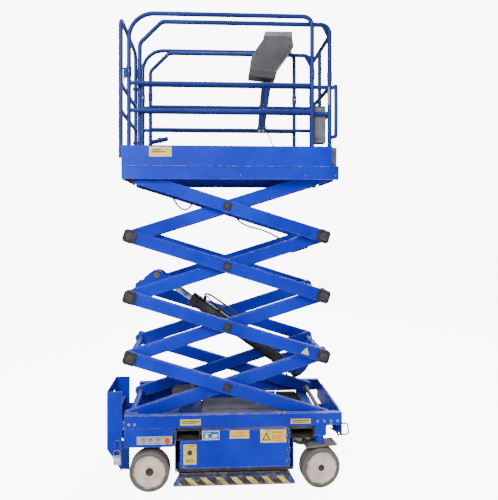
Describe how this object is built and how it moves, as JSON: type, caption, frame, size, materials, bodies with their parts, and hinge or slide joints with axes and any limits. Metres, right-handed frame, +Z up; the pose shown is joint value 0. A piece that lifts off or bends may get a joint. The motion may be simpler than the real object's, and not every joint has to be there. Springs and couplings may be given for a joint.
{
  "type": "scissor lift",
  "caption": "Electric scissor lift: stacked crossed arms raised by a hydraulic cylinder, on a wheeled chassis, carrying a railed platform with a roll-out deck and a gate.",
  "frame": {"origin": "on the ground, under the middle of the machine's overall length and width", "axes": "+X to the front, where the steered wheels and the roll-out end are; +Z up; the near side is -Y"},
  "size_m": [1.9398, 0.7982, 3.736],
  "materials": {
    "blue_paint": "gloss, worn",
    "rail_paint": "satin",
    "dark_steel": "satin",
    "grey_steel": "satin",
    "black_paint": "satin",
    "chrome_rod": "polished",
    "cream_paint": "matte",
    "solid_tyre": "matte",
    "deck_plate": "satin",
    "grey_cover": "matte",
    "switch_plate": "satin",
    "red_button": "gloss",
    "guard_paint": "satin, worn",
    "battery_case": "matte",
    "cable_sheath": "matte"
  },
  "bodies": {
    "chassis": {"chassis_frame": "blue_paint", "fork_pocket_rear": "dark_steel", "fork_pocket_front": "dark_steel", "battery_pack": "battery_case", "power_unit": "battery_case", "tray_cover": "grey_cover", "front_end_plate": "blue_paint", "entry_ladder": "blue_paint", "ground_control_plate": "switch_plate", "emergency_stop_button": "red_button", "rear_axle": "dark_steel", "front_axle": "blue_paint", "side_panel_near": "blue_paint", "side_panel_far": "blue_paint"},
    "inner_arms_1": {"inner_frame_1": "blue_paint"},
    "outer_arms_1": {"outer_arm_1_near": "blue_paint", "outer_arm_1_far": "blue_paint", "lower_roller_shaft": "dark_steel"},
    "inner_arms_2": {"inner_frame_2": "blue_paint"},
    "outer_arms_2": {"outer_arm_2_near": "blue_paint", "outer_arm_2_far": "blue_paint"},
    "inner_arms_3": {"inner_frame_3": "blue_paint"},
    "outer_arms_3": {"outer_arm_3_near": "blue_paint", "outer_arm_3_far": "blue_paint"},
    "inner_arms_4": {"inner_frame_4": "blue_paint"},
    "outer_arms_4": {"outer_arm_4_near": "blue_paint", "outer_arm_4_far": "blue_paint"},
    "cylinder_barrel": {"lift_cylinder_barrel": "black_paint"},
    "cylinder_rod": {"lift_cylinder_rod": "chrome_rod"},
    "platform": {"platform_deck": "blue_paint", "upper_pivot_shaft": "dark_steel", "toe_board_near": "blue_paint", "toe_board_far": "blue_paint", "main_guardrail_near": "rail_paint", "main_guardrail_far": "rail_paint"},
    "extension": {"extension_deck": "deck_plate", "extension_guardrail_near": "rail_paint", "extension_guardrail_far": "rail_paint", "front_guardrail": "rail_paint", "control_console": "grey_cover", "console_bracket": "rail_paint", "control_cable": "cable_sheath", "document_box": "grey_cover"},
    "gate": {"entry_gate": "rail_paint"},
    "knuckle_near": {"steering_knuckle_near": "grey_steel"},
    "knuckle_far": {"steering_knuckle_far": "grey_steel"},
    "tie_rod": {"tie_rod": "dark_steel"},
    "rear_wheel_near": {"tyre_rear_near": "solid_tyre", "wheel_rear_near": "cream_paint"},
    "rear_wheel_far": {"tyre_rear_far": "solid_tyre", "wheel_rear_far": "cream_paint"},
    "front_wheel_near": {"tyre_front_near": "solid_tyre", "wheel_front_near": "cream_paint"},
    "front_wheel_far": {"tyre_front_far": "solid_tyre", "wheel_front_far": "cream_paint"},
    "guard_near": {"pothole_guard_near": "guard_paint"},
    "guard_far": {"pothole_guard_far": "guard_paint"},
    "door_near": {"module_door_near": "blue_paint"},
    "door_far": {"module_door_far": "blue_paint"}
  },
  "joints": [
    {"name": "lift", "type": "hinge", "parent": "chassis", "child": "inner_arms_1", "pos_m": [-0.76239, 0, 0.53], "axis": [0, -1, 0], "range_deg": [-12.3, 38.5]},
    {"name": "scissor_1_centre", "type": "hinge", "parent": "inner_arms_1", "child": "outer_arms_1", "pos_m": [-0.01491, 0, 0.76349], "axis": [0, 1, 0], "range_deg": [-24.6, 77]},
    {"name": "scissor_2_front", "type": "hinge", "parent": "inner_arms_1", "child": "outer_arms_2", "pos_m": [0.73257, 0, 0.99697], "axis": [0, 1, 0], "range_deg": [-24.6, 77]},
    {"name": "scissor_2_centre", "type": "hinge", "parent": "outer_arms_2", "child": "inner_arms_2", "pos_m": [-0.01491, 0, 1.23046], "axis": [0, -1, 0], "range_deg": [-24.6, 77]},
    {"name": "scissor_3_rear", "type": "hinge", "parent": "outer_arms_2", "child": "inner_arms_3", "pos_m": [-0.76239, 0, 1.46395], "axis": [0, -1, 0], "range_deg": [-24.6, 77]},
    {"name": "scissor_3_centre", "type": "hinge", "parent": "inner_arms_3", "child": "outer_arms_3", "pos_m": [-0.01491, 0, 1.69744], "axis": [0, 1, 0], "range_deg": [-24.6, 77]},
    {"name": "scissor_4_front", "type": "hinge", "parent": "inner_arms_3", "child": "outer_arms_4", "pos_m": [0.73257, 0, 1.93093], "axis": [0, 1, 0], "range_deg": [-24.6, 77]},
    {"name": "scissor_4_centre", "type": "hinge", "parent": "outer_arms_4", "child": "inner_arms_4", "pos_m": [-0.01491, 0, 2.16441], "axis": [0, -1, 0], "range_deg": [-24.6, 77]},
    {"name": "platform_level", "type": "hinge", "parent": "outer_arms_4", "child": "platform", "pos_m": [-0.76239, 0, 2.3979], "axis": [0, -1, 0], "range_deg": [-12.3, 38.5]},
    {"name": "cylinder_swing", "type": "hinge", "parent": "inner_arms_1", "child": "cylinder_barrel", "pos_m": [0.56435, 0, 0.78728], "axis": [0, 1, 0], "range_deg": [-22.77, 71.23]},
    {"name": "cylinder_stroke", "type": "slide", "parent": "cylinder_barrel", "child": "cylinder_rod", "axis": [-0.8134, 0, 0.5816], "range_m": [-0.1894, 0.5918]},
    {"name": "extension_slide", "type": "slide", "parent": "platform", "child": "extension", "axis": [1, 0, 0], "range_m": [0, 0.9]},
    {"name": "gate_swing", "type": "hinge", "parent": "platform", "child": "gate", "pos_m": [-0.82691, 0.338, 3], "axis": [0, 0, -1], "range_deg": [0, 100]},
    {"name": "steer_near", "type": "hinge", "parent": "chassis", "child": "knuckle_near", "pos_m": [0.70009, -0.33, 0.3], "axis": [0, 0, 1], "range_deg": [-53, 37]},
    {"name": "steer_far", "type": "hinge", "parent": "chassis", "child": "knuckle_far", "pos_m": [0.70009, 0.33, 0.3], "axis": [0, 0, 1], "range_deg": [-53, 37]},
    {"name": "tie_rod_ball", "type": "hinge", "parent": "knuckle_near", "child": "tie_rod", "pos_m": [0.58324, -0.34642, 0.348], "axis": [0, 0, 1], "range_deg": [-37, 53]},
    {"name": "rear_wheel_near_spin", "type": "hinge", "parent": "chassis", "child": "rear_wheel_near", "pos_m": [-0.60691, -0.33, 0.1525], "axis": [0, 1, 0], "continuous": true},
    {"name": "rear_wheel_far_spin", "type": "hinge", "parent": "chassis", "child": "rear_wheel_far", "pos_m": [-0.60691, 0.33, 0.1525], "axis": [0, 1, 0], "continuous": true},
    {"name": "front_wheel_near_spin", "type": "hinge", "parent": "knuckle_near", "child": "front_wheel_near", "pos_m": [0.70009, -0.33, 0.1525], "axis": [-0.1392, 0.9903, 0], "continuous": true},
    {"name": "front_wheel_far_spin", "type": "hinge", "parent": "knuckle_far", "child": "front_wheel_far", "pos_m": [0.70009, 0.33, 0.1525], "axis": [-0.1392, 0.9903, 0], "continuous": true},
    {"name": "guard_near_fold", "type": "hinge", "parent": "chassis", "child": "guard_near", "pos_m": [-0.01491, -0.348, 0.118], "axis": [1, 0, 0], "range_deg": [0, 85]},
    {"name": "guard_far_fold", "type": "hinge", "parent": "chassis", "child": "guard_far", "pos_m": [-0.01491, 0.348, 0.118], "axis": [-1, 0, 0], "range_deg": [0, 85]},
    {"name": "door_near_swing", "type": "hinge", "parent": "chassis", "child": "door_near", "pos_m": [0.46009, -0.378, 0.3], "axis": [0, 0, 1], "range_deg": [0, 100]},
    {"name": "door_far_swing", "type": "hinge", "parent": "chassis", "child": "door_far", "pos_m": [0.46009, 0.378, 0.3], "axis": [0, 0, -1], "range_deg": [0, 100]}
  ],
  "couplings": [
    {"joint": "scissor_1_centre", "follows": "lift", "ratio": 2},
    {"joint": "scissor_2_front", "follows": "lift", "ratio": 2},
    {"joint": "scissor_2_centre", "follows": "lift", "ratio": 2},
    {"joint": "scissor_3_rear", "follows": "lift", "ratio": 2},
    {"joint": "scissor_3_centre", "follows": "lift", "ratio": 2},
    {"joint": "scissor_4_front", "follows": "lift", "ratio": 2},
    {"joint": "scissor_4_centre", "follows": "lift", "ratio": 2},
    {"joint": "platform_level", "follows": "lift", "ratio": 1},
    {"joint": "cylinder_swing", "follows": "lift", "ratio": 1.85},
    {"joint": "cylinder_stroke", "follows": "lift", "m_per_rad": 0.88},
    {"joint": "steer_far", "follows": "steer_near", "ratio": 1},
    {"joint": "tie_rod_ball", "follows": "steer_near", "ratio": -1}
  ]
}
